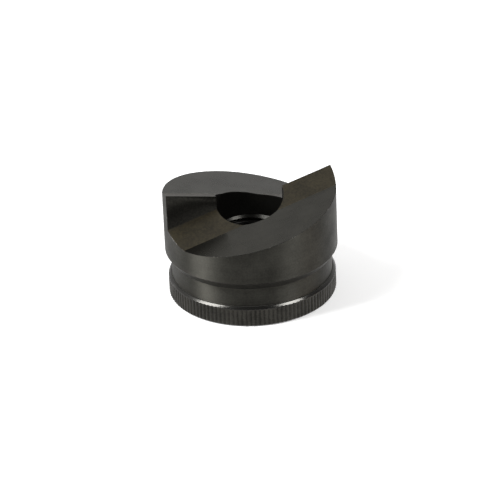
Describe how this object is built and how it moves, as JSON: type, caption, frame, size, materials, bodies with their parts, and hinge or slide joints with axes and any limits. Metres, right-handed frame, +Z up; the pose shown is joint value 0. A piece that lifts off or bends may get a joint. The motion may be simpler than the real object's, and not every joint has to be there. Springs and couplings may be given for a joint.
{
  "type": "knockout punch",
  "caption": "Round slug-splitting punch of black-oxide steel: opposed sloping wings with cutting points, a threaded bore for a draw stud and a knurled base ring.",
  "frame": {"origin": "centre of the base face, on the axis of the stud's thread", "axes": "+Z up along the thread, from the base to the cutting points; X along the walls between the wings"},
  "size_m": [0.0496, 0.0496, 0.0342],
  "materials": {
    "oxide_steel": "black-oxide tool steel, ground and turned, satin with worn bright edges"
  },
  "bodies": {
    "root": {"punch": "oxide_steel"}
  },
  "joints": []
}
